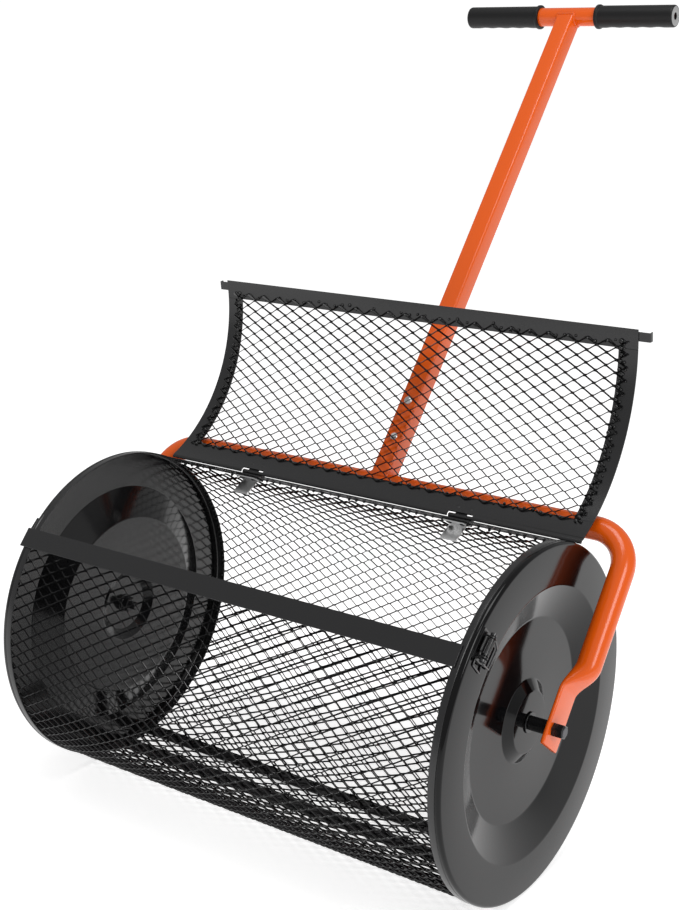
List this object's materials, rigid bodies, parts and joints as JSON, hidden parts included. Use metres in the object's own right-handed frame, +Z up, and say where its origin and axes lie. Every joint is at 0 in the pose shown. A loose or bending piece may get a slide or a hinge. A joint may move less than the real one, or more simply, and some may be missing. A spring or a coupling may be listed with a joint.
{
  "type": "rolling drum soil sieve",
  "caption": "Wire-mesh drum with a hinged mesh door, rolled by a yoke and T-handle so compost, peat or topsoil sifts out through the mesh onto the ground.",
  "frame": {"origin": "on the ground, directly under the middle of the drum axle; the axle is 0.2 m above it", "axes": "+X along the drum axle to the machine's right, +Y back towards the person pushing, +Z up"},
  "size_m": [0.708, 0.8317, 0.9545],
  "materials": {
    "orange_paint": "gloss powder coat",
    "gloss_black_steel": "high gloss black enamel",
    "satin_black_steel": "semi-gloss black powder coat",
    "mesh_steel": "black coated expanded metal",
    "grip_rubber": "matt black",
    "axle_steel": "black oxide",
    "latch_steel": "black zinc",
    "bail_wire": "dark drawn wire",
    "plated_steel": "bright zinc plate"
  },
  "bodies": {
    "handle_frame": {"yoke_tube": "orange_paint", "handle_stub": "orange_paint", "handle_tube": "orange_paint", "t_bar": "orange_paint", "grip_left": "grip_rubber", "grip_right": "grip_rubber", "handle_bolts": "plated_steel", "handle_washers": "plated_steel", "handle_nuts": "plated_steel", "axle_bolts": "axle_steel", "axle_sleeves": "axle_steel", "axle_washers": "axle_steel", "axle_nuts": "axle_steel"},
    "drum": {"end_disc_left": "gloss_black_steel", "end_disc_right": "gloss_black_steel", "rim_band_left": "satin_black_steel", "rim_band_right": "satin_black_steel", "hub_bushes": "axle_steel", "drum_mesh": "mesh_steel", "front_bar": "satin_black_steel", "rear_bar": "satin_black_steel", "lower_bar_front": "satin_black_steel", "lower_bar_rear": "satin_black_steel", "hinge_fixed_leaves": "satin_black_steel", "hinge_brackets": "plated_steel", "hinge_rivets": "satin_black_steel", "latch_base_left": "latch_steel", "latch_base_right": "latch_steel", "latch_pins": "latch_steel", "latch_rivets": "latch_steel", "latch_keepers": "bail_wire"},
    "door": {"door_top_rail": "satin_black_steel", "door_bottom_rail": "satin_black_steel", "door_side_rail_left": "satin_black_steel", "door_side_rail_right": "satin_black_steel", "door_mesh": "mesh_steel", "catch_tabs": "satin_black_steel", "hinge_door_leaves": "satin_black_steel", "hinge_pins": "satin_black_steel", "door_rivets": "satin_black_steel"},
    "latch_lever_right": {"latch_lever_right": "latch_steel"},
    "latch_lever_left": {"latch_lever_left": "latch_steel"},
    "latch_bail_right": {"latch_bail_right": "bail_wire"},
    "latch_bail_left": {"latch_bail_left": "bail_wire"}
  },
  "joints": [
    {"name": "drum_roll", "type": "hinge", "parent": "handle_frame", "child": "drum", "pos_m": [0, 0, 0.2], "axis": [1, 0, 0], "continuous": true},
    {"name": "door_hinge", "type": "hinge", "parent": "drum", "child": "door", "pos_m": [0, 0.10894, 0.37366], "axis": [1, 0, 0], "range_deg": [0, 124.4]},
    {"name": "latch_lever_right_hinge", "type": "hinge", "parent": "drum", "child": "latch_lever_right", "pos_m": [0.3154, -0.12502, 0.33501], "axis": [0, 0.7337, 0.6794], "range_deg": [0, 160]},
    {"name": "latch_lever_left_hinge", "type": "hinge", "parent": "drum", "child": "latch_lever_left", "pos_m": [-0.3154, -0.12502, 0.33501], "axis": [0, -0.7337, -0.6794], "range_deg": [0, 160]},
    {"name": "latch_bail_right_hinge", "type": "hinge", "parent": "drum", "child": "latch_bail_right", "pos_m": [0.3154, -0.12502, 0.33501], "axis": [0, -0.7337, -0.6794], "range_deg": [0, 181.5]},
    {"name": "latch_bail_left_hinge", "type": "hinge", "parent": "drum", "child": "latch_bail_left", "pos_m": [-0.3154, -0.12502, 0.33501], "axis": [0, 0.7337, 0.6794], "range_deg": [0, 181.5]}
  ]
}
